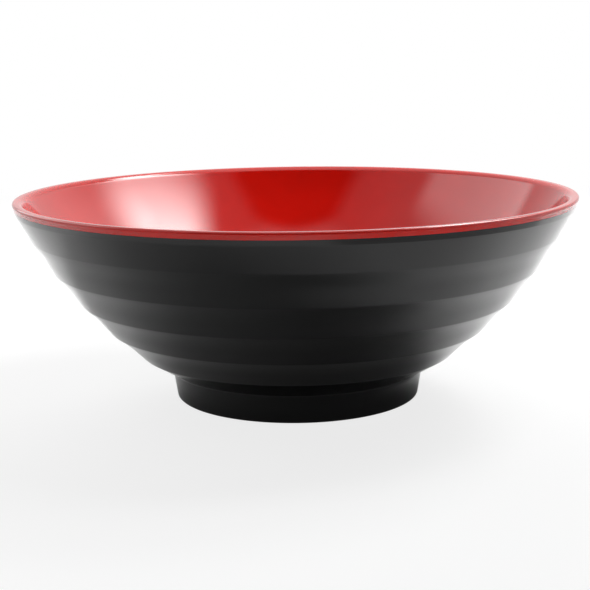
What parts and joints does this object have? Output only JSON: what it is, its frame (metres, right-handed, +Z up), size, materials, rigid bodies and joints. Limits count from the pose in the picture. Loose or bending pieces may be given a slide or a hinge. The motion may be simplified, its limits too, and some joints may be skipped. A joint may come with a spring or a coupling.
{
  "type": "noodle bowl",
  "caption": "Round noodle bowl in two colours, with coved rings outside, a smooth inside, a rounded lip and a tapered foot ring to stand on.",
  "frame": {"origin": "on the bowl's axis, in the plane of the foot ring's land, which stands on the table", "axes": "+Z up along the axis of revolution; X and Y are alike, and the picture looks along +Y"},
  "size_m": [0.2084, 0.2084, 0.0764],
  "materials": {
    "black_melamine": "glossy moulded melamine with a fused clear glaze",
    "red_melamine": "glossy moulded melamine with a fused clear glaze"
  },
  "bodies": {
    "root": {"outer_shell": "black_melamine", "inner_liner": "red_melamine"}
  },
  "joints": []
}
